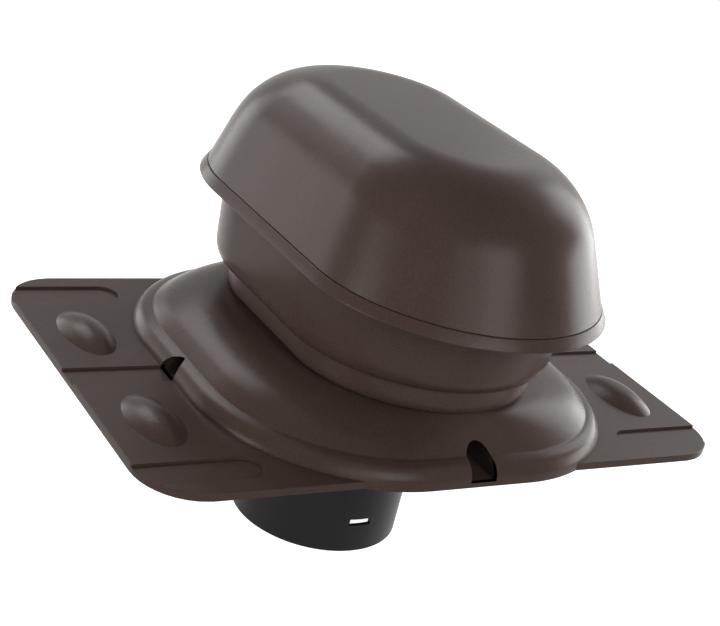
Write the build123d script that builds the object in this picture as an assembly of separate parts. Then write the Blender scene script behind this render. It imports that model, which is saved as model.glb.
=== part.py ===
from build123d import *

import os

# Oval-hooded plastic roof vent on a flat flashing plate, with a round duct below.
# Millimetres. The origin is where the duct's axis crosses the underside of the plate.
# +Z is square to the plate and away from the roof, +X is along the plate's long side,
# and +Y points up the roof slope. Every piece is symmetric about the plane X = 0.

# Duct
DUCT_R = 55.0
DUCT_WALL = 2.8
DUCT_END_Z = -109.0
SLOT_WIDTH = 15.4
SLOT_HEIGHT = 4.5
SLOT_Z = -87.85

# Centres along Y of the parts above the duct
PLATE_Y = -18.0
NECK_Y = -15.0
HEAD_Y = -12.0

# Flashing plate
PLATE_LENGTH = 394.0
PLATE_WIDTH = 256.5
PLATE_CORNER = 34.5
PLATE_T = 4.4
CHANNEL_DEPTH = 1.5
CHANNEL_HALF = 10.3
CHANNEL_END_X = 136.0
OUTER_CHANNEL_Y = 105.3
MIDDLE_CHANNEL_HALF = 9.2
BUMP_X = 166.3
BUMP_Y = 52.3
BUMP_HALF_X = 15.8
BUMP_HALF_Y = 29.0
BUMP_RISE = 6.5
BUMP_DENT_INSET = 1.0

# Dome of the flashing: rounded outer ring, pillow-shaped bell, neck band and inner upstand
WALL = 2.8
DOME_HALF = 136.5
DOME_CORNER = 103.0
RING_Z = 14.2
RING_ROUND = 8.5
BELL_INSET = 12.8
BELL_START_Z = 13.0
BELL_PROFILE = ((0.0, 0.0), (0.16, 0.42), (0.45, 0.78), (1.0, 1.0))
BELL_FOOT_INSET = 2.0
BELL_FOOT_FLAT = 0.6
NECK_FOOT_Z = 30.4
NECK_SINK = 1.5
NECK_HOLLOW_DROP = 4.5
NECK_A = 77.3
NECK_B = 113.3
NECK_TOP_Z = 46.0
NECK_ROUND = 5.0
UPSTAND_A = 69.5
UPSTAND_B = 103.0
UPSTAND_TOP_Z = 62.0
UPSTAND_WALL = 2.5
NOTCH_R = 8.8
NOTCH_SIDE_Z = 4.9
NOTCH_END_Z = 11.0
NOTCH_FLOOR_Z = 2.9
NOTCH_DEPTH = 26.0
NOTCH_WALL = 2.0

# Collar that stands round the upstand and guides the air outwards
COLLAR_WALL = 2.5
COLLAR_LOW_A = 86.0
COLLAR_LOW_B = 124.0
COLLAR_FLARE = 2.4
COLLAR_TOP_Z = 94.0
COLLAR_ROUND = 8.5

# Hood: a drafted oval shell above the seam, and a flared rim ring below it
HOOD_WALL = 2.6
SEAM_Z = 98.0
SEAM_A = 89.5
SEAM_B = 151.8
HOOD_TOP_Z = 168.7
HOOD_TOP_A = 67.6
HOOD_TOP_B = 122.0
HOOD_ROUND = 48.0
HOOD_DRAFT_A = (SEAM_A - HOOD_TOP_A) / (HOOD_TOP_Z - SEAM_Z)
HOOD_DRAFT_B = (SEAM_B - HOOD_TOP_B) / (HOOD_TOP_Z - SEAM_Z)
RIM_LOW_Z = 90.9
RIM_FLARE = 4.1
RIM_PROUD = 0.6
RIM_SHELF_Z = 95.5
SEAM_GROOVE = 0.6
SEAM_LAND_INSET = 0.8
TONGUE_TOP_Z = 104.0
TONGUE_WALL = 1.8

# Carrier between the upstand and the hood
CARRIER_LOW_Z = 52.0
CARRIER_RING_T = 4.0
CARRIER_WALL = 2.4
POST_DEPTH = 5.0
POST_WIDTH = 14.0
PAD_Z = 139.0
PAD_T = 3.0
PAD_REACH = 6.0
POST_OFFSET = 9.0
CARRIER_LIP = 7.0

# Grille across the throat
GRILLE_T = 1.6
GRILLE_SLOT_LENGTH = 42.0
GRILLE_SLOT_WIDTH = 6.0
GRILLE_PITCH = 9.0
GRILLE_ROW_PITCH = 46.0
GRILLE_ROWS = 4
GRILLE_COLUMNS = 13

# Flange of the duct adapter, its oval spigot and the seal on its ledge
FLANGE_LOW_Z = 5.0
FLANGE_HIGH_Z = 8.0
FLANGE_HALF = 105.0
FLANGE_CORNER = 20.0
SPIGOT_LOW_Z = 34.0
SPIGOT_TOP_Z = 58.0
LEDGE_LOW_Z = 35.5
LEDGE_HIGH_Z = 38.0
LEDGE_REACH = 6.0
SEAL_REACH = 2.6

# Clearances and fasteners. OVER is how far a cut runs past the face that it opens, and how deep
# a post sinks into the wall that it stands on. SKIN is how far below the outside a rib ends.
FIT = 0.3
OVER = 1.0
SKIN = 0.5
LEVEL_TOLERANCE = 0.001
SCREW_R = 1.9
SCREW_HEAD_R = 3.5
SCREW_HEAD_H = 2.2
SCREW_BOSS_R = 3.6
SCREW_GRIP = 6.0
SCREW_TIP_GAP = 0.5
SCREW_SPREAD = 0.8
COLLAR_SCREW_A = 73.2
COLLAR_SCREW_B = 106.5
COLLAR_BOSS_Z = 38.5
ADAPTER_SCREW_AT = 92.0
HOOD_SCREW_A = 58.0
HOOD_SCREW_B = 92.0
HOOD_BOSS_R = 5.0

SIT = (Align.CENTER, Align.CENTER, Align.MIN)
REACH = (Align.MIN, Align.CENTER, Align.MIN)


def oval_face(half_x, half_y, z, centre_y):
    """A flat stadium: straight sides along Y, half-round ends."""
    return Pos(0, centre_y, z) * SlotOverall(2 * half_y, 2 * half_x, rotation=90)


def oval_bar(half_x, half_y, z_low, z_high, centre_y=HEAD_Y):
    """A straight-walled oval block."""
    return extrude(oval_face(half_x, half_y, z_low, centre_y), z_high - z_low)


def oval_taper(low, high, low_y=HEAD_Y, high_y=HEAD_Y):
    """A block between two ovals, each given as (half x, half y, z)."""
    return loft([oval_face(*low, low_y), oval_face(*high, high_y)], ruled=True)


def squircle_face(half_x, half_y, corner, z, centre_y=PLATE_Y):
    """A flat rounded rectangle."""
    return Pos(0, centre_y, z) * RectangleRounded(2 * half_x, 2 * half_y, corner)


def edges_at(solid, z):
    """The solid's edges that lie wholly in the level plane z."""
    level = []
    for edge in solid.edges():
        box = edge.bounding_box()
        if max(abs(box.min.Z - z), abs(box.max.Z - z)) < LEVEL_TOLERANCE:
            level.append(edge)
    return level


def six_round_oval(half_x, half_y):
    """Six places round the head's oval, each with its turn about Z: four on the sides, two at the ends."""
    along = SCREW_SPREAD * (half_y - half_x)
    spots = []
    for side, turn in ((1, 0), (-1, 180)):
        for end in (1, -1):
            spots.append((side * half_x, HEAD_Y + end * along, turn))
        spots.append((0.0, HEAD_Y + side * half_y, 90 if side > 0 else 270))
    return spots


def upright(radius, z_low, z_high, x, y):
    """A vertical round bar."""
    return Pos(x, y, z_low) * Cylinder(radius, z_high - z_low, align=SIT)


# Flashing

def bell_block(inset, drop):
    """The bell from the ring's inner ledge up to the neck's foot, offset inward.

    Its sides bulge like a pillow, and its ends run straight up to the neck.
    """
    outer_half = DOME_HALF - BELL_INSET - inset
    outer_corner = DOME_CORNER - BELL_INSET - inset
    foot_x, foot_y = NECK_A - BELL_FOOT_INSET - inset, NECK_B - BELL_FOOT_INSET - inset
    foot_corner = foot_x - BELL_FOOT_FLAT
    faces = []
    for share, rise in BELL_PROFILE:
        half_x = outer_half + (foot_x - outer_half) * share
        half_y = outer_half + (foot_y - outer_half) * rise
        corner = outer_corner + (foot_corner - outer_corner) * share
        z = BELL_START_Z + (NECK_FOOT_Z - BELL_START_Z) * rise - drop
        centre = PLATE_Y + (NECK_Y - PLATE_Y) * rise
        faces.append(squircle_face(half_x, half_y, corner, z, centre))
    return loft(faces)


def ring_block(inset, z_low, z_high, rounding):
    """The dome's low outer ring as a block with a rounded upper edge."""
    face = squircle_face(DOME_HALF - inset, DOME_HALF - inset, DOME_CORNER - inset, z_low)
    block = extrude(face, z_high - z_low)
    return fillet(edges_at(block, z_high), rounding)


def neck_block(inset, z_low, z_high, rounding):
    """The neck band as an oval block with a rounded lower edge."""
    block = oval_bar(NECK_A - inset, NECK_B - inset, z_low, z_high, NECK_Y)
    return fillet(edges_at(block, z_low), rounding)


def ellipsoid(half_x, half_y, half_z, x, y, z):
    """A stretched ball."""
    return Pos(x, y, z) * scale(Sphere(1), by=(half_x, half_y, half_z))


def channel(side_x, y, half, round_end):
    """The shallow water channel that a wing has from its outer edge towards the dome."""
    length = PLATE_LENGTH / 2 + OVER - CHANNEL_END_X
    cut = Box(length, 2 * half, PLATE_T, align=REACH)
    if round_end:
        cut += Cylinder(half, PLATE_T, align=SIT)
    turn = 0 if side_x > 0 else 180
    return Pos(side_x * CHANNEL_END_X, y, PLATE_T - CHANNEL_DEPTH) * Rot(0, 0, turn) * cut


def arch_bar(radius, length, low_z, arch_z):
    """A bar along +X that stands on low_z, with upright sides and a half-round top about arch_z."""
    top = Pos(0, 0, arch_z) * Rot(0, 90, 0) * Cylinder(radius, length, align=SIT)
    above = Pos(0, 0, low_z) * Box(length, 2 * radius, arch_z + radius - low_z, align=REACH)
    sides = Pos(0, 0, low_z) * Box(length, 2 * radius, arch_z - low_z, align=REACH)
    return (top & above) + sides


def notch(body, angle, arch_z, skin):
    """Cuts one arched drain notch through the ring, as a short tunnel with a floor and walls."""
    place = Pos(0, PLATE_Y, 0) * Rot(0, 0, angle) * Pos(DOME_HALF - NOTCH_DEPTH, 0, 0)
    tunnel = place * arch_bar(NOTCH_R + NOTCH_WALL, NOTCH_DEPTH - OVER, 0, arch_z)
    cut = place * Pos(-OVER, 0, 0) * arch_bar(NOTCH_R, NOTCH_DEPTH + 2 * OVER, NOTCH_FLOOR_Z, arch_z)
    return body + (tunnel & skin) - cut


def adapter_spots():
    """Places of the four screws that hold the duct adapter under the bell."""
    at = ADAPTER_SCREW_AT
    return [(x, PLATE_Y + y) for x in (-at, at) for y in (-at, at)]


def make_base_flashing():
    """The flashing in one moulding: plate, ring, bell, neck band and upstand."""
    body = extrude(squircle_face(PLATE_LENGTH / 2, PLATE_WIDTH / 2, PLATE_CORNER, 0), PLATE_T)
    for side_x in (-1, 1):
        for side_y in (-1, 1):
            x, y = side_x * BUMP_X, PLATE_Y + side_y * BUMP_Y
            bump = ellipsoid(BUMP_HALF_X, BUMP_HALF_Y, BUMP_RISE, x, y, PLATE_T)
            dent_x, dent_y = BUMP_HALF_X - BUMP_DENT_INSET, BUMP_HALF_Y - BUMP_DENT_INSET
            dent = ellipsoid(dent_x, dent_y, BUMP_RISE, x, y, PLATE_T - WALL)
            below = Pos(x, y, -BUMP_RISE) * Box(3 * BUMP_HALF_X, 3 * BUMP_HALF_Y, BUMP_RISE, align=SIT)
            body = body + (bump - below) - dent
            body -= channel(side_x, PLATE_Y + side_y * OUTER_CHANNEL_Y, CHANNEL_HALF, True)
        body -= channel(side_x, PLATE_Y, MIDDLE_CHANNEL_HALF, False)

    body += ring_block(0, 0, RING_Z, RING_ROUND) + bell_block(0, 0)
    body += neck_block(0, NECK_FOOT_Z - NECK_SINK, NECK_TOP_Z, NECK_ROUND)
    body += oval_bar(UPSTAND_A, UPSTAND_B, NECK_TOP_Z - OVER, UPSTAND_TOP_Z)

    throat_a, throat_b = UPSTAND_A - UPSTAND_WALL, UPSTAND_B - UPSTAND_WALL
    hollow = ring_block(WALL, -OVER, RING_Z - WALL, RING_ROUND - WALL)
    hollow += bell_block(WALL, WALL)
    neck_low, neck_high = NECK_FOOT_Z - NECK_HOLLOW_DROP, NECK_TOP_Z - WALL
    hollow += oval_bar(NECK_A - WALL, NECK_B - WALL, neck_low, neck_high, NECK_Y)
    hollow += oval_bar(throat_a, throat_b, RING_Z, UPSTAND_TOP_Z + OVER)
    body -= hollow

    skin = ring_block(SKIN, 0, RING_Z - SKIN, RING_ROUND) + bell_block(SKIN, SKIN)
    for angle, arch_z in ((0, NOTCH_SIDE_Z), (90, NOTCH_END_Z), (180, NOTCH_SIDE_Z), (270, NOTCH_END_Z)):
        body = notch(body, angle, arch_z, skin)

    for x, y, _ in six_round_oval(COLLAR_SCREW_A, COLLAR_SCREW_B):
        body += upright(SCREW_BOSS_R, COLLAR_BOSS_Z, NECK_TOP_Z - OVER, x, y)
        body -= upright(SCREW_R, COLLAR_BOSS_Z - OVER, NECK_TOP_Z + OVER, x, y)
    for x, y in adapter_spots():
        body += upright(SCREW_BOSS_R, FLANGE_HIGH_Z, NECK_FOOT_Z, x, y) & skin
        body -= upright(SCREW_R, FLANGE_HIGH_Z - OVER, FLANGE_HIGH_Z + SCREW_GRIP, x, y)
    return body


# Duct adapter and its seal

def make_duct_adapter():
    """The black duct: round tube, flange inside the dome, funnel to an oval spigot in the upstand."""
    spigot_a, spigot_b = UPSTAND_A - UPSTAND_WALL - FIT, UPSTAND_B - UPSTAND_WALL - FIT
    bore_a, bore_b = spigot_a - DUCT_WALL, spigot_b - DUCT_WALL
    bore_r = DUCT_R - DUCT_WALL
    near_round = 0.1
    funnel_z = FLANGE_HIGH_Z - SKIN
    flange = squircle_face(FLANGE_HALF, FLANGE_HALF, FLANGE_CORNER, FLANGE_LOW_Z)
    body = upright(DUCT_R, DUCT_END_Z, FLANGE_HIGH_Z, 0, 0) + extrude(flange, FLANGE_HIGH_Z - FLANGE_LOW_Z)
    body += oval_taper((DUCT_R, DUCT_R + near_round, funnel_z), (spigot_a, spigot_b, SPIGOT_LOW_Z), 0)
    body += oval_bar(spigot_a, spigot_b, SPIGOT_LOW_Z, SPIGOT_TOP_Z)
    body += oval_bar(spigot_a + LEDGE_REACH, spigot_b + LEDGE_REACH, LEDGE_LOW_Z, LEDGE_HIGH_Z)
    body -= upright(bore_r, DUCT_END_Z - OVER, FLANGE_HIGH_Z, 0, 0)
    body -= oval_taper((bore_r, bore_r + near_round, funnel_z), (bore_a, bore_b, SPIGOT_LOW_Z), 0)
    body -= oval_bar(bore_a, bore_b, SPIGOT_LOW_Z, SPIGOT_TOP_Z + OVER)
    body -= Pos(0, 0, SLOT_Z) * Box(SLOT_WIDTH, 2 * (DUCT_R + OVER), SLOT_HEIGHT)
    for x, y in adapter_spots():
        body -= upright(SCREW_R + FIT, FLANGE_LOW_Z - OVER, FLANGE_HIGH_Z + OVER, x, y)
    return body


def make_throat_seal():
    """The rubber ring on the adapter's ledge, under the base's shoulder and round the oval spigot."""
    low, high = LEDGE_HIGH_Z, NECK_TOP_Z - WALL
    inner_a, inner_b = UPSTAND_A - UPSTAND_WALL - FIT, UPSTAND_B - UPSTAND_WALL - FIT
    outer = oval_bar(inner_a + SEAL_REACH, inner_b + SEAL_REACH, low, high)
    return outer - oval_bar(inner_a, inner_b, low - OVER, high + OVER)


# Collar, grille and carrier

def make_collar():
    """The oval sleeve that stands on the base's shoulder and ends just inside the hood's rim."""
    low = (COLLAR_LOW_A, COLLAR_LOW_B, NECK_TOP_Z)
    high = (COLLAR_LOW_A + COLLAR_FLARE, COLLAR_LOW_B + COLLAR_FLARE, COLLAR_TOP_Z)
    outer = oval_taper(low, high)
    outer = fillet(edges_at(outer, NECK_TOP_Z), COLLAR_ROUND)
    floor_z, over_z = NECK_TOP_Z + COLLAR_WALL, COLLAR_TOP_Z + OVER
    inner_low = (COLLAR_LOW_A - COLLAR_WALL, COLLAR_LOW_B - COLLAR_WALL, floor_z)
    inner_high = (high[0] - COLLAR_WALL, high[1] - COLLAR_WALL, over_z)
    inner = oval_taper(inner_low, inner_high)
    inner = fillet(edges_at(inner, floor_z), COLLAR_ROUND - COLLAR_WALL)
    body = outer - inner
    body -= oval_bar(UPSTAND_A + FIT, UPSTAND_B + FIT, NECK_TOP_Z - OVER, floor_z + OVER)
    for x, y, _ in six_round_oval(COLLAR_SCREW_A, COLLAR_SCREW_B):
        body -= upright(SCREW_R + FIT, NECK_TOP_Z - OVER, floor_z + OVER, x, y)
    return body


def make_insect_grille():
    """The slotted oval plate that lies on the upstand's edge."""
    low, high = UPSTAND_TOP_Z, UPSTAND_TOP_Z + GRILLE_T
    body = oval_bar(UPSTAND_A, UPSTAND_B, low, high)
    clear = oval_bar(UPSTAND_A - CARRIER_LIP, UPSTAND_B - CARRIER_LIP, low - OVER, high + OVER)
    slots = Part()
    for row in range(GRILLE_ROWS):
        y = HEAD_Y + (row - (GRILLE_ROWS - 1) / 2) * GRILLE_ROW_PITCH
        for column in range(GRILLE_COLUMNS):
            x = (column - (GRILLE_COLUMNS - 1) / 2) * GRILLE_PITCH
            slots += Pos(x, y, low + GRILLE_T / 2) * Box(GRILLE_SLOT_WIDTH, GRILLE_SLOT_LENGTH, 2 * GRILLE_T)
    return body - (slots & clear)


def make_hood_carrier():
    """The ring over the upstand's edge, with six posts and pads that the hood is screwed to."""
    ring_low = UPSTAND_TOP_Z + GRILLE_T
    ring_high = ring_low + CARRIER_RING_T
    outer_a, outer_b = UPSTAND_A + FIT + CARRIER_WALL, UPSTAND_B + FIT + CARRIER_WALL
    body = oval_bar(outer_a, outer_b, CARRIER_LOW_Z, ring_high)
    body -= oval_bar(UPSTAND_A + FIT, UPSTAND_B + FIT, CARRIER_LOW_Z - OVER, ring_low)
    body -= oval_bar(UPSTAND_A - CARRIER_LIP, UPSTAND_B - CARRIER_LIP, ring_low - OVER, ring_high + OVER)
    post_top = PAD_Z + PAD_T
    post_height = post_top - ring_high + OVER
    post = Pos(POST_OFFSET, 0, 0) * Box(POST_DEPTH, POST_WIDTH, post_height, align=SIT)
    pad = Box(PAD_REACH + POST_OFFSET, POST_WIDTH, PAD_T, align=REACH)
    pad = Pos(-PAD_REACH, 0, post_height - PAD_T) * pad
    for x, y, turn in hood_spots():
        body += Pos(x, y, ring_high - OVER) * Rot(0, 0, turn) * (post + pad)
        body -= upright(SCREW_R + FIT, PAD_Z - OVER, post_top + OVER, x, y)
    return body


def hood_spots():
    """Places of the six screws between the carrier's pads and the hood's bosses."""
    return six_round_oval(HOOD_SCREW_A, HOOD_SCREW_B)


# Hood

def hood_block(inset, low_z=SEAM_Z):
    """The hood's drafted and rounded form from low_z up, offset inward."""
    top_z = HOOD_TOP_Z - inset
    ovals = []
    for z in (low_z, top_z):
        half_x = SEAM_A - HOOD_DRAFT_A * (z - SEAM_Z) - inset
        half_y = SEAM_B - HOOD_DRAFT_B * (z - SEAM_Z) - inset
        ovals.append((half_x, half_y, z))
    return fillet(edges_at(oval_taper(*ovals), top_z), HOOD_ROUND - inset)


def make_hood_shell():
    """The upper cover with its six screw bosses inside."""
    body = hood_block(0) - hood_block(HOOD_WALL, SEAM_Z - OVER)
    core = hood_block(HOOD_WALL / 2)
    boss_z = PAD_Z + PAD_T
    for x, y, _ in hood_spots():
        body += upright(HOOD_BOSS_R, boss_z, HOOD_TOP_Z, x, y) & core
        body -= upright(SCREW_R, boss_z - OVER, boss_z + SCREW_GRIP + OVER, x, y)
    return body


def make_hood_rim():
    """The flared rim ring that closes the hood's lower edge, with a tongue inside the shell."""
    groove_z = SEAM_Z - SEAM_GROOVE
    top_a, top_b = SEAM_A + RIM_PROUD, SEAM_B + RIM_PROUD
    low_a, low_b = top_a + RIM_FLARE, top_b + RIM_FLARE
    body = oval_taper((low_a, low_b, RIM_LOW_Z), (top_a, top_b, groove_z))
    body += oval_bar(SEAM_A - SEAM_LAND_INSET, SEAM_B - SEAM_LAND_INSET, groove_z, SEAM_Z)

    rise = TONGUE_TOP_Z - SEAM_Z
    lean_a, lean_b = HOOD_DRAFT_A * rise, HOOD_DRAFT_B * rise
    tongue_a, tongue_b = SEAM_A - HOOD_WALL - FIT, SEAM_B - HOOD_WALL - FIT
    body += oval_taper((tongue_a, tongue_b, SEAM_Z), (tongue_a - lean_a, tongue_b - lean_b, TONGUE_TOP_Z))

    inward = RIM_FLARE * (RIM_SHELF_Z - RIM_LOW_Z) / (groove_z - RIM_LOW_Z)
    low_a, low_b = low_a - HOOD_WALL, low_b - HOOD_WALL
    body -= oval_taper((low_a, low_b, RIM_LOW_Z), (low_a - inward, low_b - inward, RIM_SHELF_Z))
    hole_a, hole_b = tongue_a - TONGUE_WALL, tongue_b - TONGUE_WALL
    body -= oval_bar(hole_a, hole_b, RIM_SHELF_Z - OVER, SEAM_Z)
    body -= oval_taper((hole_a, hole_b, SEAM_Z), (hole_a - lean_a, hole_b - lean_b, TONGUE_TOP_Z))
    return body


# Fasteners

def screw(x, y, head_face_z, shank_tip_z):
    """A pan-head screw whose head bears on head_face_z and whose shank runs to shank_tip_z."""
    up = shank_tip_z > head_face_z
    low, high = sorted((head_face_z, shank_tip_z))
    shank = upright(SCREW_R, low, high, x, y)
    if up:
        return shank + upright(SCREW_HEAD_R, head_face_z - SCREW_HEAD_H, head_face_z, x, y)
    return shank + upright(SCREW_HEAD_R, head_face_z, head_face_z + SCREW_HEAD_H, x, y)


def make_adapter_screws():
    """The four screws that hold the duct adapter's flange up to the bell's bosses."""
    tip_z = FLANGE_HIGH_Z + SCREW_GRIP - SCREW_TIP_GAP
    return Compound([screw(x, y, FLANGE_LOW_Z, tip_z) for x, y in adapter_spots()])


def make_collar_screws():
    """The six screws through the collar's floor into the base's shoulder."""
    face_z = NECK_TOP_Z + COLLAR_WALL
    spots = six_round_oval(COLLAR_SCREW_A, COLLAR_SCREW_B)
    return Compound([screw(x, y, face_z, COLLAR_BOSS_Z) for x, y, _ in spots])


def make_hood_screws():
    """The six screws up through the carrier's pads into the hood's bosses."""
    return Compound([screw(x, y, PAD_Z, PAD_Z + PAD_T + SCREW_GRIP) for x, y, _ in hood_spots()])


NODES = {
    "base_flashing": make_base_flashing,
    "duct_adapter": make_duct_adapter,
    "throat_seal": make_throat_seal,
    "adapter_screws": make_adapter_screws,
    "collar": make_collar,
    "collar_screws": make_collar_screws,
    "insect_grille": make_insect_grille,
    "hood_carrier": make_hood_carrier,
    "hood_screws": make_hood_screws,
    "hood_rim": make_hood_rim,
    "hood_shell": make_hood_shell,
}

if __name__ == "__main__":
    os.makedirs("parts", exist_ok=True)
    for name, make in NODES.items():
        export_step(make(), f"parts/{name}.step")
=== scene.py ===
"""Oval-hooded roof vent: the visible shells, their plastics, the studio and the camera."""

import logging
import math
from collections.abc import Sequence
from dataclasses import dataclass, field
from enum import Enum

import bmesh
import bpy
from mathutils import Matrix, Vector


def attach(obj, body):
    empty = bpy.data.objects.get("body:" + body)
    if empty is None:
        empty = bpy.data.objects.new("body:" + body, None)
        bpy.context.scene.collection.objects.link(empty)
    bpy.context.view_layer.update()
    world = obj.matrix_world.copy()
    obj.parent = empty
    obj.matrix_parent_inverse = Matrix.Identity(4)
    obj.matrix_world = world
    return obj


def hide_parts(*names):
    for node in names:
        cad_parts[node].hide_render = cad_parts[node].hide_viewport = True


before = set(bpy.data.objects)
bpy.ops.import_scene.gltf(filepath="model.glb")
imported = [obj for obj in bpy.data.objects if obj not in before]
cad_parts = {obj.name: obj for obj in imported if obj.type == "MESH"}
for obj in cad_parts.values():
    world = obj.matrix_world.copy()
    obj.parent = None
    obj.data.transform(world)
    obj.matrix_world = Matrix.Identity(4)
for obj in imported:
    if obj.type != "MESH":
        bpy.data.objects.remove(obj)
LOG = logging.getLogger("roof_vent")

MM = 0.001
TINY = 1e-9

# The middles of the plate, of the neck and of the head along Y, in millimetres.
PLATE_Y = -18.0
NECK_Y = -15.0
HEAD_Y = -12.0

# Points round an outline, and steps on a quarter round.
AROUND = 256
NECK_STEPS = 8
FOOT_STEPS = 10
BUMP_STEPS = 14

SHARP_ANGLE = math.radians(32)
CORNER_SHARE = 0.49
FRONT, BACK = -1, 1
SIDES = (-1, 1)

Point = tuple[float, float, float]
Loop = list[Point]
Section = list[tuple[float, float]]


class Slot(Enum):
    """The record's material slots."""

    SHELL = "hood_plastic"
    DUCT = "duct_plastic"
    SEAL = "seal_rubber"
    SCREW = "screw_steel"


# Plan outlines and sections

@dataclass(frozen=True)
class Outline:
    """A rounded rectangle in plan, in millimetres; an oval where the corner equals half_x."""

    half_x: float
    half_y: float
    corner: float
    centre_y: float

    def reach(self, angle: float) -> float:
        """Distance from the centre to the outline.

        Args:
            angle: Direction in plan, in radians.

        Returns:
            The distance in millimetres.
        """
        along_x, along_y = abs(math.cos(angle)), abs(math.sin(angle))
        core_x, core_y = self.half_x - self.corner, self.half_y - self.corner
        if along_x > TINY and self.half_x / along_x * along_y <= core_y:
            return self.half_x / along_x
        if along_y > TINY and self.half_y / along_y * along_x <= core_x:
            return self.half_y / along_y
        middle = along_x * core_x + along_y * core_y
        return middle + math.sqrt(max(0.0, middle ** 2 - core_x ** 2 - core_y ** 2 + self.corner ** 2))

    def grown(self, by: float) -> "Outline":
        """The outline moved outward by that many millimetres."""
        return Outline(self.half_x + by, self.half_y + by, self.corner + by, self.centre_y)

    def towards(self, other: "Outline", share: float) -> "Outline":
        """The outline part of the way to another one.

        Args:
            other: The outline at share 1.
            share: How far to go, from 0 to 1.

        Returns:
            The mixed outline.
        """
        def mix(a: float, b: float) -> float:
            """Part of the way from a to b."""
            return a + (b - a) * share

        return Outline(mix(self.half_x, other.half_x), mix(self.half_y, other.half_y),
                       mix(self.corner, other.corner), mix(self.centre_y, other.centre_y))

    def loop(self, z: float, count: int = AROUND) -> Loop:
        """The outline as a closed loop of points at one height.

        Args:
            z: The height.
            count: How many points it has.

        Returns:
            The loop, which starts on the right.
        """
        points = []
        for index in range(count):
            angle = math.tau * index / count
            reach = self.reach(angle)
            points.append((reach * math.cos(angle), self.centre_y + reach * math.sin(angle), z))
        return points


def oval(half_x: float, half_y: float) -> Outline:
    """An oval round the head's middle, with straight sides along Y and half-round ends."""
    return Outline(half_x, half_y, half_x, HEAD_Y)


def rounded(corners: list[tuple[float, float, float]], closed: bool = False, steps: int = 5) -> Section:
    """Rounds the corners of a section line.

    Args:
        corners: Each corner as (offset, z, radius).
        closed: Whether the line returns to its first corner.
        steps: Points on each rounded corner, less one.

    Returns:
        The section as (offset, z) points.
    """
    line: Section = []
    count = len(corners)
    for index, (x, z, radius) in enumerate(corners):
        inner = closed or 0 < index < count - 1
        if not inner or radius <= 0:
            line.append((x, z))
            continue
        here = Vector((x, z))
        before = Vector(corners[index - 1][:2]) - here
        after = Vector(corners[(index + 1) % count][:2]) - here
        reach = min(radius, before.length * CORNER_SHARE, after.length * CORNER_SHARE)
        start, end = here + before.normalized() * reach, here + after.normalized() * reach
        for step in range(steps + 1):
            t = step / steps
            point = start * (1 - t) ** 2 + here * 2 * t * (1 - t) + end * t ** 2
            line.append((point.x, point.y))
    return line


def smooth_through(knots: Sequence[tuple[float, float]], steps: int = 6) -> Section:
    """A smooth line through section points.

    Args:
        knots: The points that it goes through.
        steps: How many steps it takes from one to the next.

    Returns:
        The finer line.
    """
    line: Section = []
    for index in range(len(knots) - 1):
        before = Vector(knots[max(0, index - 1)])
        start, end = Vector(knots[index]), Vector(knots[index + 1])
        after = Vector(knots[min(len(knots) - 1, index + 2)])
        span = (end - start).length
        lead = (end - before) / max((end - before).length, TINY) * span
        tail = (after - start) / max((after - start).length, TINY) * span
        for step in range(steps):
            t = step / steps
            point = (start * (2 * t ** 3 - 3 * t ** 2 + 1) + lead * (t ** 3 - 2 * t ** 2 + t)
                     + end * (3 * t ** 2 - 2 * t ** 3) + tail * (t ** 3 - t ** 2))
            line.append((point.x, point.y))
    line.append(knots[-1])
    return line


# Mesh building

class Shells:
    """Collects lofted shells and bars into one mesh object."""

    def __init__(self) -> None:
        """Starts with an empty mesh."""
        self.mesh = bmesh.new()

    def _ring(self, loop: Loop) -> list[bmesh.types.BMVert]:
        """Adds a loop's points as vertices."""
        return [self.mesh.verts.new((x * MM, y * MM, z * MM)) for x, y, z in loop]

    def loft(self, loops: list[Loop], closed: bool = False, caps: bool = False) -> "Shells":
        """Adds a skin through loops of equal length.

        Args:
            loops: The loops, in order.
            closed: Whether the last loop joins the first.
            caps: Whether the first and last loops are filled.

        Returns:
            This object, so that calls can be chained.
        """
        rings = [self._ring(loop) for loop in loops]
        pairs = list(zip(rings, rings[1:]))
        if closed:
            pairs.append((rings[-1], rings[0]))
        for low, high in pairs:
            count = len(low)
            for i in range(count):
                j = (i + 1) % count
                self.mesh.faces.new((low[i], low[j], high[j], high[i]))
        if caps:
            self.mesh.faces.new(list(reversed(rings[0])))
            self.mesh.faces.new(rings[-1])
        return self

    def bar(self, x: float, y: float, radius: float, low: float, high: float, count: int = 24) -> "Shells":
        """Adds an upright round bar.

        Args:
            x: Its middle along X.
            y: Its middle along Y.
            radius: Its radius.
            low: Height of its lower end.
            high: Height of its upper end.
            count: How many sides it has.

        Returns:
            This object, so that calls can be chained.
        """
        def level(z: float) -> Loop:
            """The bar's outline at one height."""
            turns = (math.tau * i / count for i in range(count))
            return [(x + radius * math.cos(t), y + radius * math.sin(t), z) for t in turns]

        return self.loft([level(low), level(high)], caps=True)

    def object(self, name: str) -> bpy.types.Object:
        """Makes the object, with smooth faces and crisp edges where they are sharp.

        Args:
            name: The object's name.

        Returns:
            The new object.
        """
        bmesh.ops.recalc_face_normals(self.mesh, faces=self.mesh.faces)
        data = bpy.data.meshes.new(name)
        self.mesh.to_mesh(data)
        self.mesh.free()
        piece = bpy.data.objects.new(name, data)
        bpy.context.scene.collection.objects.link(piece)
        finish_faces(piece)
        return piece


def finish_faces(piece: bpy.types.Object) -> None:
    """Shades a piece smooth, apart from its sharp edges.

    Args:
        piece: The object that is shaded.
    """
    for polygon in piece.data.polygons:
        polygon.use_smooth = True
    piece.data.set_sharp_from_angle(angle=SHARP_ANGLE)


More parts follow.
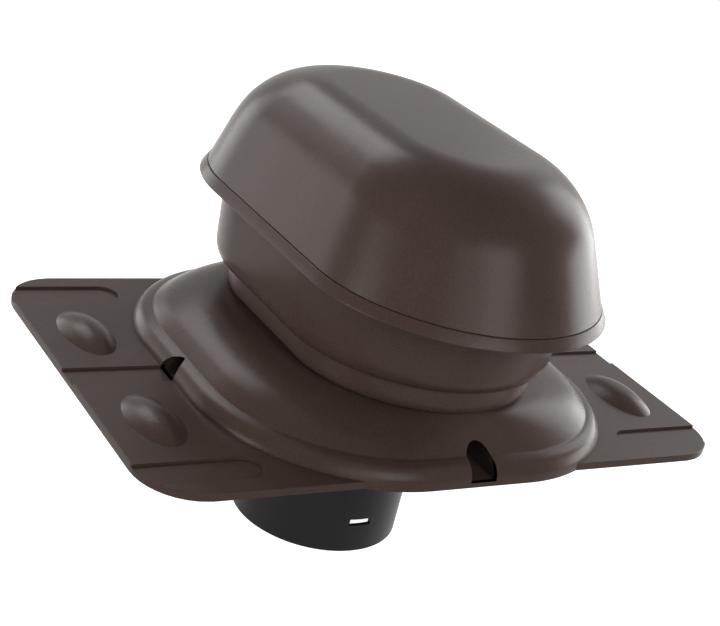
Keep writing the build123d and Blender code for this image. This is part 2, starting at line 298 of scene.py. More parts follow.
def carve(piece: bpy.types.Object, cutters: list[bpy.types.Object]) -> None:
    """Cuts blocks out of a piece and removes them.

    Args:
        piece: The object that is cut.
        cutters: The blocks, which are deleted afterwards.
    """
    for cutter in cutters:
        modifier = piece.modifiers.new("cut", "BOOLEAN")
        modifier.operation = "DIFFERENCE"
        modifier.solver = "EXACT"
        modifier.object = cutter
        bpy.context.view_layer.update()
        graph = bpy.context.evaluated_depsgraph_get()
        cut = bpy.data.meshes.new_from_object(piece.evaluated_get(graph))
        piece.modifiers.clear()
        piece.data = cut
        bpy.data.objects.remove(cutter, do_unlink=True)
    finish_faces(piece)


# Hood

@dataclass
class HoodEnd:
    """How one end, or the sides, of the hood lean and round over."""

    seam_reach: float
    draft: float
    rounding: float

    def reach(self, z: float, seam_z: float, top_z: float) -> float:
        """Distance from the middle at one height.

        Args:
            z: The height.
            seam_z: Height of the seam, where the reach is seam_reach.
            top_z: Height of the flat top.

        Returns:
            The reach in millimetres.
        """
        lean = math.atan(self.draft)
        centre_z = top_z - self.rounding
        touch_z = centre_z + self.rounding * math.sin(lean)
        touch = self.seam_reach - self.draft * (touch_z - seam_z)
        if z <= touch_z:
            return self.seam_reach - self.draft * (z - seam_z)
        centre = touch - self.rounding * math.cos(lean)
        return centre + math.sqrt(max(0.0, self.rounding ** 2 - (z - centre_z) ** 2))


@dataclass
class Hood:
    """The upper cover and the rim band under its seam."""

    seam_z: float = 98.0
    top_z: float = 168.6
    wall: float = 2.6
    side: HoodEnd = field(default_factory=lambda: HoodEnd(89.5, 0.305, 45.8))
    front: HoodEnd = field(default_factory=lambda: HoodEnd(151.8, 0.47, 62.0))
    back: HoodEnd = field(default_factory=lambda: HoodEnd(151.8, 0.36, 70.0))
    straight_rows: int = 12
    rows: int = 46
    crown_rows: int = 6
    crown_rest: float = 0.3
    around: int = 288
    least_side: float = 0.01
    boss_z: float = 142.0
    boss_rise: float = 13.0
    boss_radius: float = 5.0
    boss_side: float = 58.0
    boss_end: float = 92.0
    boss_share: float = 0.8
    rim_low_z: float = 90.9
    rim_top_z: float = 97.4
    rim_flare: float = 3.9
    rim_proud: float = 0.6
    seam_depth: float = 0.8
    shelf_z: float = 95.5
    shelf_inset: float = 0.9
    tongue_top_z: float = 104.0
    tongue_gap: float = 0.3
    tongue_wall: float = 1.8
    tongue_lean: float = 1.9
    rim_radii: tuple[float, ...] = (0.35, 1.1, 1.0, 0.8, 0.3, 0.5, 0.5, 0.2, 0.0, 0.0)

    def level(self, z: float, inset: float) -> Loop:
        """The cover's outline at one height.

        Args:
            z: The height.
            inset: How far inside the outer skin it lies.

        Returns:
            The closed loop.
        """
        top = self.top_z - inset
        half = self.side.reach(z, self.seam_z, top) - inset
        ends = {FRONT: self.front.reach(z, self.seam_z, top) - inset,
                BACK: self.back.reach(z, self.seam_z, top) - inset}
        return self.oval_loop(half, ends, z)

    def oval_loop(self, half: float, ends: dict[int, float], z: float) -> Loop:
        """An oval whose two ends reach differently far.

        Args:
            half: Half its width.
            ends: Reach of the front and back end from the head's centre.
            z: Its height.

        Returns:
            The closed loop.
        """
        outlines = {end: oval(half, max(reach, half + self.least_side)) for end, reach in ends.items()}
        points = []
        for index in range(self.around):
            angle = math.tau * index / self.around
            outline = outlines[BACK if math.sin(angle) >= 0 else FRONT]
            reach = outline.reach(angle)
            points.append((reach * math.cos(angle), HEAD_Y + reach * math.sin(angle), z))
        return points

    def levels(self, inset: float) -> list[Loop]:
        """The cover's loops from the seam to the middle of its flat top.

        Args:
            inset: How far inside the outer skin they lie.

        Returns:
            The loops, from the lowest up.
        """
        top = self.top_z - inset
        centre_z = top - self.side.rounding
        loops = []
        for step in range(self.straight_rows):
            z = self.seam_z + (centre_z - self.seam_z) * step / self.straight_rows
            loops.append(self.level(z, inset))
        for step in range(self.rows + 1):
            z = centre_z + self.side.rounding * math.sin(math.pi / 2 * step / self.rows)
            loops.append(self.level(min(z, top), inset))
        half = self.side.reach(top, self.seam_z, top) - inset
        front = self.front.reach(top, self.seam_z, top) - inset
        back = self.back.reach(top, self.seam_z, top) - inset
        for step in range(1, self.crown_rows + 1):
            left = half * (1 - step / (self.crown_rows + self.crown_rest))
            loops.append(self.oval_loop(left, {FRONT: front - half + left, BACK: back - half + left}, top))
        return loops

    def build_cover(self) -> bpy.types.Object:
        """Builds the cover with its inner skin and screw bosses.

        Returns:
            The cover.
        """
        outer, inner = self.levels(0.0), self.levels(self.wall)
        shells = Shells()
        shells.loft(list(reversed(outer)) + inner, caps=True)
        along = self.boss_share * (self.boss_end - self.boss_side)
        spots = [(side * self.boss_side, HEAD_Y + end * along) for side in SIDES for end in SIDES]
        spots += [(0.0, HEAD_Y + end * self.boss_end) for end in SIDES]
        for x, y in spots:
            shells.bar(x, y, self.boss_radius, self.boss_z, self.boss_z + self.boss_rise)
        return shells.object("hood_cover")

    def build_rim(self) -> bpy.types.Object:
        """Builds the flared rim band, its shelf and its tongue.

        Returns:
            The rim.
        """
        top, low = self.rim_proud, self.rim_proud + self.rim_flare
        tongue = -self.wall - self.tongue_gap
        tip = tongue - self.tongue_lean
        corners = [
            (top, self.rim_top_z),
            (low, self.rim_low_z),
            (low - self.wall, self.rim_low_z),
            (-self.shelf_inset, self.shelf_z),
            (tongue - self.tongue_wall, self.shelf_z),
            (tip - self.tongue_wall, self.tongue_top_z),
            (tip, self.tongue_top_z),
            (tongue, self.seam_z),
            (-self.seam_depth, self.seam_z),
            (-self.seam_depth, self.rim_top_z),
        ]
        section = rounded([(*corner, radius) for corner, radius in zip(corners, self.rim_radii)], closed=True)
        base = oval(self.side.seam_reach, self.front.seam_reach)
        loops = [base.grown(offset).loop(z, self.around) for offset, z in section]
        return Shells().loft(loops, closed=True).object("hood_rim_band")


# Collar

@dataclass
class Collar:
    """The oval sleeve under the hood."""

    low_z: float = 46.0
    top_z: float = 94.0
    half_x: float = 86.3
    half_y: float = 124.3
    top_growth: float = 2.1
    round_across: float = 8.0
    round_up: float = 12.4
    wall: float = 2.5
    floor_inset: float = 1.0
    hole_x: float = 69.8
    radii: tuple[float, ...] = (0.0, 0.7, 0.7, 6.0, 4.0, 0.3, 0.0)

    def build(self) -> bpy.types.Object:
        """Builds the sleeve with its rounded foot and its floor.

        Returns:
            The collar.
        """
        foot: Section = []
        for step in range(FOOT_STEPS + 1):
            turn = math.pi / 2 * step / FOOT_STEPS
            foot.append((-self.round_across * (1 - math.sin(turn)),
                         self.low_z + self.round_up * (1 - math.cos(turn))))
        hole = self.hole_x - self.half_x
        corners = [
            foot[-1],
            (self.top_growth, self.top_z),
            (self.top_growth - self.wall, self.top_z),
            (-self.wall, self.low_z + self.round_up),
            (-self.round_across - self.floor_inset, self.low_z + self.wall),
            (hole, self.low_z + self.wall),
            (hole, self.low_z),
        ]
        top = rounded([(*corner, radius) for corner, radius in zip(corners, self.radii)])
        base = oval(self.half_x, self.half_y)
        loops = [base.grown(offset).loop(z) for offset, z in foot + top[1:]]
        return Shells().loft(loops, closed=True).object("collar_sleeve")


# Flashing

@dataclass
class Dome:
    """The rounded ring, pillow-shaped bell, neck band and upstand of the flashing."""

    ring: Outline = field(default_factory=lambda: Outline(136.5, 136.5, 103.0, PLATE_Y))
    foot: Outline = field(default_factory=lambda: Outline(73.0, 108.9, 72.4, NECK_Y))
    # The outside as (inset, z) points: from the ring's edge inwards, then from the ring's ledge inwards.
    ring_line: tuple[tuple[float, float], ...] = (
        (0.0, 2.6), (0.4, 5.6), (2.0, 8.7), (4.7, 11.7), (8.2, 13.3), (11.0, 14.0))
    bell_line: tuple[tuple[float, float], ...] = (
        (0.0, 14.0), (2.6, 16.6), (8.0, 20.9), (17.0, 24.9), (30.0, 28.2), (42.0, 29.8), (52.5, 30.4))
    bell_inset: float = 11.0
    edge_z: float = 1.2
    wall: float = 2.8
    bell_wall_across: float = 1.6
    ring_wall_across: float = 2.6
    ring_wall_down: float = 1.6
    ring_low_z: float = 0.5
    neck_wall_down: float = 1.8
    lining_steps: int = 3
    neck_z: float = 37.0
    neck_out: float = 4.3
    neck_top_z: float = 46.0
    shoulder: float = 3.0
    shoulder_round: float = 0.6
    upstand: Outline = field(default_factory=lambda: oval(69.5, 103.0))
    upstand_top_z: float = 62.0
    upstand_wall: float = 2.5
    notch_radius: float = 8.8
    # Height of the middle of a notch's round arch, at the sides and at the ends.
    notch_arch_z: tuple[float, float] = (4.9, 11.0)
    notch_floor_z: float = 2.9
    notch_depth: float = 30.9
    notch_wall: float = 2.0
    notch_steps: int = 19
    roof_sunk: float = 0.8
    mouth_inset: float = 0.1
    cut_inside: float = 1.0
    cut_outside: float = 5.0
    tray_depth: float = 7.0
    tray_drop: float = 0.4
    boss_reach: float = 92.0
    boss_radius: float = 3.6
    boss_low_z: float = 8.0
    boss_top_z: float = 17.0

    def bell_loop(self, inset: float, z: float, sunk: float = 0.0) -> Loop:
        """The bell's outline, whose sides bulge while its ends run straight up to the neck.

        Args:
            inset: How far the sides have come in from the ring's inner ledge.
            z: Height of the outside there.
            sunk: How far below the outside the loop lies.

        Returns:
            The closed loop.
        """
        start = self.ring.grown(-self.bell_inset)
        low_z, high_z = self.bell_line[0][1], self.bell_line[-1][1]
        across = start.towards(self.foot, inset / (start.half_x - self.foot.half_x))
        along = start.towards(self.foot, (z - low_z) / (high_z - low_z))
        return Outline(across.half_x, along.half_y, across.corner, along.centre_y).loop(z - sunk)

    def outer_loops(self) -> list[Loop]:
        """Loops up the outside, from the ring's foot to the top of the upstand.

        Returns:
            The loops, from the lowest up.
        """
        loops = [self.ring.loop(0.0), self.ring.loop(self.edge_z)]
        loops += [self.ring.grown(-inset).loop(z) for inset, z in smooth_through(self.ring_line)]
        loops += [self.bell_loop(inset, z) for inset, z in smooth_through(self.bell_line)[1:]]
        for step in range(1, NECK_STEPS + 1):
            turn = math.pi / 2 * step / NECK_STEPS
            z = self.neck_z - (self.neck_z - self.bell_line[-1][1]) * math.cos(turn)
            loops.append(self.foot.grown(self.neck_out * math.sin(turn)).loop(z))
        band = self.foot.grown(self.neck_out)
        shoulder = rounded([(0.0, self.neck_z, 0), (0.0, self.neck_top_z, self.shoulder_round),
                            (-self.shoulder, self.neck_top_z, 0)])
        loops += [band.grown(offset).loop(z) for offset, z in shoulder[1:]]
        loops.append(self.upstand.loop(self.neck_top_z))
        loops.append(self.upstand.loop(self.upstand_top_z))
        return loops

    def inner_loops(self) -> list[Loop]:
        """Loops down the inside, from the top of the upstand to the ring's foot.

        Returns:
            The loops, from the highest down.
        """
        inside = self.upstand.grown(-self.upstand_wall)
        band = self.foot.grown(self.neck_out - self.wall)
        under = self.neck_top_z - self.wall
        loops = [inside.loop(self.upstand_top_z), inside.loop(under)]
        loops += [band.loop(under), band.loop(self.neck_z)]
        loops.append(self.foot.grown(-self.wall).loop(self.bell_line[-1][1] - self.neck_wall_down))
        for inset, z in reversed(smooth_through(self.bell_line[1:], self.lining_steps)[:-1]):
            loops.append(self.bell_loop(inset + self.bell_wall_across, z, self.wall))
        for inset, z in reversed(smooth_through(self.ring_line, self.lining_steps)[:-1]):
            low_z = max(self.ring_low_z, z - self.ring_wall_down)
            loops.append(self.ring.grown(-inset - self.ring_wall_across).loop(low_z))
        loops.append(self.ring.grown(-self.wall).loop(0.0))
        return loops

    def turned(self, quarter: int, points: list[Point]) -> Loop:
        """Places points at a quarter turn about the plate's centre.

        Args:
            quarter: 0 is the right side, 1 the back, 2 the left side and 3 the front.
            points: The points as (reach, across, z).

        Returns:
            The points in the part's frame.
        """
        along_x, along_y = ((1, 0), (0, 1), (-1, 0), (0, -1))[quarter]
        return [(reach * along_x - across * along_y, PLATE_Y + reach * along_y + across * along_x, z)
                for reach, across, z in points]

    def arch(self, quarter: int) -> bpy.types.Object:
        """The block that cuts one drain notch, which is low at a side and high at an end.

        Args:
            quarter: The side or end, as in turned.

        Returns:
            The cutter object.
        """
        side, floor = self.notch_radius, self.notch_floor_z
        arch_z = self.notch_arch_z[quarter % 2]
        section = [(-side, floor), (side, floor)]
        for step in range(self.notch_steps + 1):
            angle = math.pi * step / self.notch_steps
            section.append((side * math.cos(angle), arch_z + side * math.sin(angle)))
        start = self.ring.half_x - self.notch_depth - self.cut_inside
        end = self.ring.half_x + self.cut_outside
        loops = [self.turned(quarter, [(reach, across, z) for across, z in section])
                 for reach in (start, end)]
        return Shells().loft(loops, caps=True).object("notch_cutter")

    def skin_line(self, quarter: int) -> Section:
        """The outside from the ring's foot inwards, in the middle of a side or an end.

        Args:
            quarter: The side or end, as in turned.

        Returns:
            The line as (reach, z) points.
        """
        line = [(self.ring.half_x - inset, z) for inset, z in smooth_through(self.ring_line)]
        start = self.ring.half_x - self.bell_inset
        (low_inset, low_z), (high_inset, high_z) = self.bell_line[0], self.bell_line[-1]
        lean = (0, 1, 0, -1)[quarter] * (NECK_Y - PLATE_Y)
        side_run, end_run = start - self.foot.half_x, start - self.foot.half_y - lean
        for inset, z in smooth_through(self.bell_line)[1:]:
            if quarter % 2:
                line.append((start - (z - low_z) / (high_z - low_z) * end_run, z))
            else:
                line.append((start - (inset - low_inset) / (high_inset - low_inset) * side_run, z))
        return line

    def build(self) -> bpy.types.Object:
        """Builds the dome and cuts its notches.

        Returns:
            The dome.
        """
        loops = self.outer_loops() + self.inner_loops()
        dome = Shells().loft(loops, closed=True).object("flashing_dome")
        carve(dome, [self.arch(quarter) for quarter in range(4)])
        return dome

    def build_tunnels(self) -> bpy.types.Object:
        """Builds the floors and walls of the notches.

        Returns:
            The four tunnels.
        """
        shells = Shells()
        start, end = self.ring.half_x - self.notch_depth, self.ring.half_x - self.mouth_inset
        half = self.notch_radius + self.notch_wall
        for quarter in range(4):
            top = self.notch_arch_z[quarter % 2] + half
            roof = [(reach, min(z - self.roof_sunk, top)) for reach, z in self.skin_line(quarter)
                    if start < reach < end]
            profile = [(start, 0.0), (end, 0.0)] + roof + [(start, roof[-1][1])]
            shells.loft([self.turned(quarter, [(reach, across, z) for reach, z in profile])
                         for across in (-half, half)], caps=True)
        tunnels = shells.object("notch_tunnels")
        carve(tunnels, [self.arch(quarter) for quarter in range(4)])
        return tunnels

    def build_bosses(self) -> bpy.types.Object:
        """Builds the tray behind each notch, and the four screw bosses under the bell.

        Returns:
            The trays and bosses.
        """
        shells = Shells()
        end = self.ring.half_x - self.notch_depth
        start, half = end - self.tray_depth, self.notch_radius + self.tray_depth
        plan = [(start, -half), (end, -half), (end, half), (start, half)]
        for quarter in range(4):
            shells.loft([self.turned(quarter, [(reach, across, z) for reach, across in plan])
                         for z in (0.0, self.notch_floor_z - self.tray_drop)], caps=True)
        for side in SIDES:
            for along in SIDES:
                shells.bar(side * self.boss_reach, PLATE_Y + along * self.boss_reach,
                           self.boss_radius, self.boss_low_z, self.boss_top_z)
        return shells.object("adapter_bosses")


@dataclass
class Wings:
    """The flat flashing plate on both sides of the dome."""

    plate: Outline = field(default_factory=lambda: Outline(197.0, 128.25, 34.5, PLATE_Y))
    thickness: float = 4.4
    dome_edge: Outline = field(default_factory=lambda: Outline(135.1, 135.1, 101.6, PLATE_Y))
    edge_round: float = 0.5
    edge_inset: float = 2.0
    channel_floor_z: float = 2.9
    channel_end_x: float = 136.0
    outer_channel_y: float = 105.3
    outer_channel_half: float = 10.3
    middle_channel_half: float = 9.2
    bump_x: float = 166.3
    bump_y: float = 52.3
    bump_half_x: float = 15.8
    bump_half_y: float = 29.0
    bump_rise: float = 6.5
    bump_fullness: float = 2.2
    bump_tip: float = 0.01
    bump_count: int = 96
    bump_overlap: float = 0.45
    bump_lining: float = 1.0
    bump_sunk: float = 0.05
    # The outside of a bump's foot as (inset, z) points, from the lowest up.
    bump_foot: tuple[tuple[float, float], ...] = ((0.6, 0.02), (0.3, 3.5))
    wall: float = 2.8
    cut_near_x: float = 120.0
    cut_far_x: float = 210.0
    cut_high_z: float = 12.0
    cut_through: tuple[float, float] = (-5.0, 20.0)
    channel_steps: int = 24

    def channel(self, side: int, y: float, half: float, round_end: bool) -> bpy.types.Object:
        """The block that cuts one water channel.

        Args:
            side: 1 for the right wing, -1 for the left one.
            y: The channel's middle.
            half: Half its width.
            round_end: Whether it ends round, or runs on to the dome.

        Returns:
            The cutter object.
        """
        outline = [(self.cut_far_x, -half)]
        if round_end:
            for step in range(self.channel_steps + 1):
                angle = -math.pi / 2 - math.pi * step / self.channel_steps
                outline.append((self.channel_end_x + half * math.cos(angle), half * math.sin(angle)))
        else:
            outline += [(self.cut_near_x, -half), (self.cut_near_x, half)]
        outline.append((self.cut_far_x, half))
        loops = [[(side * x, y + across, z) for x, across in outline]
                 for z in (self.channel_floor_z, self.cut_high_z)]
        return Shells().loft(loops, caps=True).object("channel_cutter")

    def bump_loop(self, x: float, y: float, inset: float, share: float, z: float) -> Loop:
        """An oval loop of a bump.

        Args:
            x: The bump's middle along X.
            y: The bump's middle along Y.
            inset: How far inside the bump's outline it starts.
            share: Its size, which is 1 at the bump's foot.
            z: Its height.

        Returns:
            The closed loop.
        """
        points = []
        for index in range(self.bump_count):
            angle = math.tau * index / self.bump_count
            points.append((x + (self.bump_half_x - inset) * share * math.cos(angle),
                           y + (self.bump_half_y - inset) * share * math.sin(angle), z))
        return points

    def add_bump(self, shells: Shells, x: float, y: float) -> None:
        """Adds one oval bump as a closed shell.

        Args:
            shells: Where it is added.
            x: Its middle along X.
            y: Its middle along Y.
        """
        outer, inner = [], []
        for step in range(BUMP_STEPS + 1):
            turn = math.pi / 2 * step / BUMP_STEPS
            share = max(self.bump_tip, math.cos(turn))
            rise = self.bump_rise * (1 - share ** self.bump_fullness)
            outer.append(self.bump_loop(x, y, 0.0, share, self.thickness - self.bump_sunk + rise))
            inner.append(self.bump_loop(x, y, self.bump_lining, share, self.thickness - self.wall + rise))
        foot = [self.bump_loop(x, y, inset, 1.0, z) for inset, z in self.bump_foot]
        lining = inner[::-1] + [self.bump_loop(x, y, self.bump_lining, 1.0, self.bump_foot[0][1])]
        shells.loft(lining + foot + outer, caps=True)

    def build(self) -> bpy.types.Object:
        """Builds both wings with their channels and the holes under the bumps.

        Returns:
            The wings.
        """
        section = rounded([(0.0, 0.0, 0), (0.0, self.thickness, self.edge_round),
                           (-self.edge_inset, self.thickness, 0)])
        slab = [self.plate.grown(offset).loop(z) for offset, z in section]
        wings = Shells().loft(slab, caps=True).object("flashing_wings")
        core = [self.dome_edge.loop(z) for z in self.cut_through]
        cutters = [Shells().loft(core, caps=True).object("core")]
        for side in SIDES:
            cutters.append(self.channel(side, PLATE_Y, self.middle_channel_half, False))
            for end in SIDES:
                channel_y = PLATE_Y + end * self.outer_channel_y
                cutters.append(self.channel(side, channel_y, self.outer_channel_half, True))
                x, y = side * self.bump_x, PLATE_Y + end * self.bump_y
                hole = [self.bump_loop(x, y, self.bump_overlap, 1.0, z) for z in self.cut_through]
                cutters.append(Shells().loft(hole, caps=True).object("bump_hole"))
        carve(wings, cutters)
        return wings

    def build_bumps(self) -> bpy.types.Object:
        """Builds the four oval bumps.

        Returns:
            The bumps.
        """
        shells = Shells()
        for side in SIDES:
            for end in SIDES:
                self.add_bump(shells, side * self.bump_x, PLATE_Y + end * self.bump_y)
        return shells.object("wing_bumps")


# Finishes

# How the fine grain and the clouds are drawn, and the grain's share of the tint.
GRAIN_DETAIL = 2.0
GRAIN_ROUGHNESS = 0.6
CLOUD_DETAIL = 3.0
GRAIN_SHARE = 0.6


def grain_group() -> bpy.types.NodeTree:
    """The moulded surface's fine grain, built once and shared by every finish.

    Returns:
        A node group that puts out a height, a tint mask and a gloss mask.
    """
    group = bpy.data.node_groups.new("moulded_grain", "ShaderNodeTree")
    for name, default in (("Grain Scale", 900.0), ("Cloud Scale", 18.0)):
        socket = group.interface.new_socket(name, in_out="INPUT", socket_type="NodeSocketFloat")
        socket.default_value = default
    for name in ("Height", "Tint", "Gloss"):
        group.interface.new_socket(name, in_out="OUTPUT", socket_type="NodeSocketFloat")
    nodes, links = group.nodes, group.links
    entry, leave = nodes.new("NodeGroupInput"), nodes.new("NodeGroupOutput")
    place = nodes.new("ShaderNodeTexCoord")
    grain, clouds = nodes.new("ShaderNodeTexNoise"), nodes.new("ShaderNodeTexNoise")
    grain.inputs["Detail"].default_value = GRAIN_DETAIL
    grain.inputs["Roughness"].default_value = GRAIN_ROUGHNESS
    clouds.inputs["Detail"].default_value = CLOUD_DETAIL
    for noise, name in ((grain, "Grain Scale"), (clouds, "Cloud Scale")):
        links.new(place.outputs["Object"], noise.inputs["Vector"])
        links.new(entry.outputs[name], noise.inputs["Scale"])
    tint = nodes.new("ShaderNodeMath")
    tint.operation = "MULTIPLY_ADD"
    tint.inputs[1].default_value = GRAIN_SHARE
    links.new(grain.outputs["Fac"], tint.inputs[0])
    share = nodes.new("ShaderNodeMath")
    share.operation = "MULTIPLY"
    share.inputs[1].default_value = 1.0 - GRAIN_SHARE
    links.new(clouds.outputs["Fac"], share.inputs[0])
    links.new(share.outputs[0], tint.inputs[2])
    links.new(grain.outputs["Fac"], leave.inputs["Height"])
    links.new(tint.outputs[0], leave.inputs["Tint"])
    links.new(clouds.outputs["Fac"], leave.inputs["Gloss"])
    return group


@dataclass(frozen=True)
class Finish:
    """A moulded or metal surface: two close colours, a gloss range and a grain."""

    name: str
    dark: tuple[float, float, float]
    light: tuple[float, float, float]
    rough_low: float
    rough_high: float
    grain_scale: float = 900.0
    grain_depth: float = 0.0001
    grain_strength: float = 0.25
    metallic: float = 0.0
    shine: float = 0.5

    def material(self, grain: bpy.types.NodeTree) -> bpy.types.Material:
        """Makes the material.

        Args:
            grain: The shared grain group.

        Returns:
            The new material.
        """
        made = bpy.data.materials.new(self.name)
        made.use_nodes = True
        nodes, links = made.node_tree.nodes, made.node_tree.links
        shader = nodes["Principled BSDF"]
        shader.inputs["Metallic"].default_value = self.metallic
        shader.inputs["Specular IOR Level"].default_value = self.shine
        source = nodes.new("ShaderNodeGroup")
        source.node_tree = grain
        source.inputs["Grain Scale"].default_value = self.grain_scale
        colour = nodes.new("ShaderNodeMix")
        colour.data_type = "RGBA"
        colour.inputs["A"].default_value = (*self.dark, 1.0)
        colour.inputs["B"].default_value = (*self.light, 1.0)
        links.new(source.outputs["Tint"], colour.inputs["Factor"])
        links.new(colour.outputs["Result"], shader.inputs["Base Color"])
        gloss = nodes.new("ShaderNodeMapRange")
        gloss.inputs["To Min"].default_value = self.rough_low
        gloss.inputs["To Max"].default_value = self.rough_high
        links.new(source.outputs["Gloss"], gloss.inputs["Value"])
        links.new(gloss.outputs["Result"], shader.inputs["Roughness"])
        bump = nodes.new("ShaderNodeBump")
        bump.inputs["Strength"].default_value = self.grain_strength
        bump.inputs["Distance"].default_value = self.grain_depth
        links.new(source.outputs["Height"], bump.inputs["Height"])
        links.new(bump.outputs["Normal"], shader.inputs["Normal"])
        return made


SHELL = Finish("brown_shell", (0.014, 0.0089, 0.0071), (0.078, 0.0497, 0.0395), 0.22, 0.31, 1100.0,
               grain_strength=0.65, shine=0.08)
DUCT = Finish("black_duct", (0.007, 0.007, 0.007), (0.013, 0.013, 0.013), 0.30, 0.42, 1400.0, 0.00005,
              shine=0.12)
SEAL = Finish("seal", (0.008, 0.008, 0.008), (0.016, 0.016, 0.016), 0.7, 0.85, shine=0.2)
SCREW = Finish("screw_zinc", (0.55, 0.55, 0.55), (0.68, 0.68, 0.68), 0.3, 0.42, 500.0, 0.00003, metallic=1.0)

FINISH_OF_SLOT = {Slot.SHELL: SHELL, Slot.DUCT: DUCT, Slot.SEAL: SEAL, Slot.SCREW: SCREW}

SLOT_OF_NODE = {
    "duct_adapter": Slot.DUCT,
    "throat_seal": Slot.SEAL,
    "adapter_screws": Slot.SCREW,
    "collar_screws": Slot.SCREW,
    "insect_grille": Slot.DUCT,
    "hood_carrier": Slot.DUCT,
    "hood_screws": Slot.SCREW,
}


# Studio

def seen_directly(nodes: bpy.types.Nodes, links: bpy.types.NodeLinks) -> bpy.types.NodeSocket:
    """Adds the sum of camera, glossy and transmission rays to a node tree.

    Args:
        nodes: The tree's nodes.
        links: The tree's links.

    Returns:
        The socket that is 1 for a ray that shows the background.
    """
    path = nodes.new("ShaderNodeLightPath")
    total = path.outputs["Is Camera Ray"]
    for name in ("Is Glossy Ray", "Is Transmission Ray"):
        join = nodes.new("ShaderNodeMath")
        join.operation = "ADD"
        join.use_clamp = True
        links.new(total, join.inputs[0])
        links.new(path.outputs[name], join.inputs[1])
        total = join.outputs[0]
    return total


@dataclass(frozen=True)
class SoftBox:
    """A square lamp that looks at the vent."""

    name: str
    azimuth: float
    elevation: float
    power: float
    distance: float = 1.5
    size: float = 0.6

    def place(self, target: Vector) -> None:
        """Adds the lamp.

        Args:
            target: The point that it looks at.
        """
        turn, rise = math.radians(self.azimuth), math.radians(self.elevation)
        away = Vector((math.sin(turn) * math.cos(rise), -math.cos(turn) * math.cos(rise), math.sin(rise)))
        data = bpy.data.lights.new(self.name, "AREA")
        data.shape = "SQUARE"
        data.size = self.size
        data.energy = self.power
        lamp = bpy.data.objects.new(self.name, data)
        lamp.location = target + away * self.distance
        lamp.rotation_euler = away.to_track_quat("Z", "Y").to_euler()
        lamp.visible_camera = False
        bpy.context.scene.collection.objects.link(lamp)


@dataclass(frozen=True)
class PhotoCamera:
    """The photograph's viewpoint in metres, its axes in the part's frame and its lens in millimetres."""

    place: Point = (-0.516904, -0.726100, 0.398792)
    right: Point = (0.84453792, -0.48418877, 0.22872895)
    up: Point = (0.01188689, 0.44398049, 0.89595761)
    back: Point = (-0.5353638, -0.7539513, 0.38071385)
    lens: float = 76.8
    sensor_width: float = 36.0

    def build(self) -> None:
        """Places the camera at the photograph's viewing angle."""
        data = bpy.data.cameras.new("camera")
        data.sensor_fit = "HORIZONTAL"
        data.sensor_width = self.sensor_width
        data.lens = self.lens
        camera = bpy.data.objects.new("camera", data)
        pose = Matrix((self.right, self.up, self.back)).transposed().to_4x4()
        pose.translation = self.place
        camera.matrix_world = pose
        bpy.context.scene.collection.objects.link(camera)
        bpy.context.scene.camera = camera


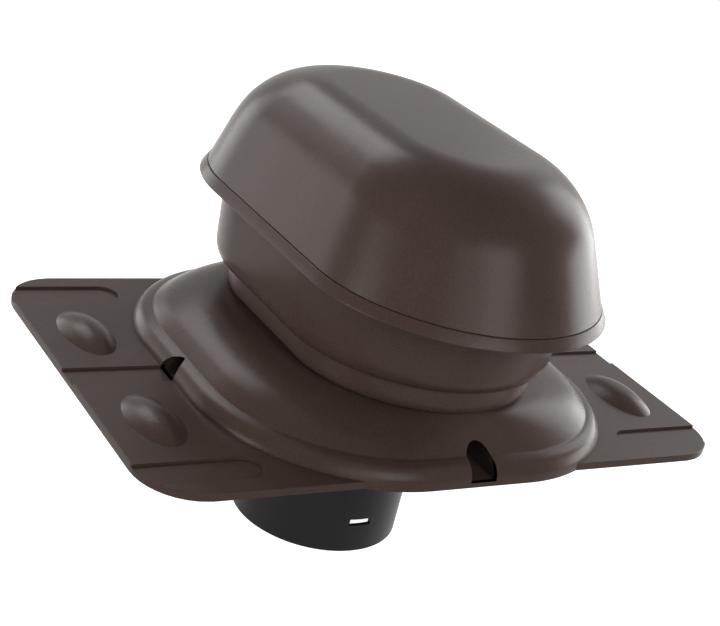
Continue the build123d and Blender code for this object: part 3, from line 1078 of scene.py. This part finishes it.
@dataclass
class Studio:
    """The floor, the room's light and the soft boxes."""

    floor_z: float = -0.109
    floor_size: float = 8.0
    floor_tone: float = 0.5
    floor_glow: float = 0.96
    target: Vector = field(default_factory=lambda: Vector((0.0, -0.015, 0.05)))
    boxes: tuple[SoftBox, ...] = (
        SoftBox("low_back_left", -161.0, 4.0, 5.2),
        SoftBox("low_rear_left", -137.0, 4.0, 3.6),
        SoftBox("low_left", -89.0, 4.0, 13.0),
        SoftBox("low_front", -17.0, 4.0, 2.4),
        SoftBox("low_right", 79.0, 4.0, 8.6),
        SoftBox("low_rear_right", 103.0, 4.0, 6.4),
        SoftBox("mid_back_left", -161.0, 28.0, 3.2),
        SoftBox("mid_back", -178.0, 42.0, 7.5),
        SoftBox("mid_left_front", -17.0, 28.0, 3.8),
        SoftBox("mid_front", 7.0, 28.0, 9.5),
        SoftBox("mid_right", 103.0, 28.0, 5.6),
        SoftBox("mid_back_right", 127.0, 28.0, 1.0),
    )
    world_light: float = 0.07

    def build(self) -> None:
        """Builds everything round the vent."""
        self.floor()
        self.world()
        for box in self.boxes:
            box.place(self.target)
        PhotoCamera().build()

    def floor(self) -> None:
        """Lays the pale floor, which looks white to the camera and keeps the vent's shadow."""
        half = self.floor_size / 2
        data = bpy.data.meshes.new("studio_floor")
        corners = [(-half, -half, 0), (half, -half, 0), (half, half, 0), (-half, half, 0)]
        data.from_pydata(corners, [], [(0, 1, 2, 3)])
        floor = bpy.data.objects.new("studio_floor", data)
        floor.location.z = self.floor_z
        bpy.context.scene.collection.objects.link(floor)
        made = bpy.data.materials.new("pale_floor")
        made.use_nodes = True
        nodes, links = made.node_tree.nodes, made.node_tree.links
        nodes.clear()
        leave = nodes.new("ShaderNodeOutputMaterial")
        matt, glow = nodes.new("ShaderNodeBsdfDiffuse"), nodes.new("ShaderNodeEmission")
        matt.inputs["Color"].default_value = (self.floor_tone, self.floor_tone, self.floor_tone, 1.0)
        add = nodes.new("ShaderNodeAddShader")
        strength = nodes.new("ShaderNodeMath")
        strength.operation = "MULTIPLY"
        strength.inputs[1].default_value = self.floor_glow
        links.new(seen_directly(nodes, links), strength.inputs[0])
        links.new(strength.outputs[0], glow.inputs["Strength"])
        links.new(matt.outputs[0], add.inputs[0])
        links.new(glow.outputs[0], add.inputs[1])
        links.new(add.outputs[0], leave.inputs["Surface"])
        data.materials.append(made)

    def world(self) -> None:
        """Sets the even room light, which looks white to the camera."""
        world = bpy.data.worlds.new("studio_world")
        bpy.context.scene.world = world
        world.use_nodes = True
        nodes, links = world.node_tree.nodes, world.node_tree.links
        back = nodes["Background"]
        back.inputs["Color"].default_value = (1.0, 1.0, 1.0, 1.0)
        level = nodes.new("ShaderNodeMapRange")
        level.inputs["To Min"].default_value = self.world_light
        level.inputs["To Max"].default_value = 1.0
        links.new(seen_directly(nodes, links), level.inputs["Value"])
        links.new(level.outputs["Result"], back.inputs["Strength"])


# Assembly

class RoofVent:
    """Puts the pieces on the frame and dresses them."""

    def __init__(self) -> None:
        """Makes one material for each slot."""
        grain = grain_group()
        self.materials = {slot: finish.material(grain) for slot, finish in FINISH_OF_SLOT.items()}

    def dress(self, piece: bpy.types.Object, slot: Slot, node: str) -> None:
        """Gives a piece its material and its body, and hides the node that it stands for.

        Args:
            piece: The piece.
            slot: Its material slot.
            node: The node that it replaces.
        """
        piece.data.materials.clear()
        piece.data.materials.append(self.materials[slot])
        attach(piece, "root")
        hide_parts(node)
        LOG.info("%s: %d faces", piece.name, len(piece.data.polygons))

    def build(self) -> None:
        """Builds and dresses every piece."""
        hood, dome, wings = Hood(), Dome(), Wings()
        self.dress(hood.build_cover(), Slot.SHELL, "hood_shell")
        self.dress(hood.build_rim(), Slot.SHELL, "hood_rim")
        self.dress(Collar().build(), Slot.SHELL, "collar")
        self.dress(dome.build(), Slot.SHELL, "base_flashing")
        self.dress(dome.build_tunnels(), Slot.SHELL, "base_flashing")
        self.dress(dome.build_bosses(), Slot.SHELL, "base_flashing")
        self.dress(wings.build(), Slot.SHELL, "base_flashing")
        self.dress(wings.build_bumps(), Slot.SHELL, "base_flashing")
        for node, slot in SLOT_OF_NODE.items():
            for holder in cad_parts[node].material_slots:
                holder.material = self.materials[slot]


def main() -> None:
    logging.basicConfig(level=logging.INFO, format="%(name)s %(message)s")
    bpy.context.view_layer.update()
    RoofVent().build()
    Studio().build()
    bpy.context.scene.view_settings.view_transform = "Standard"


if __name__ == "__main__":
    main()
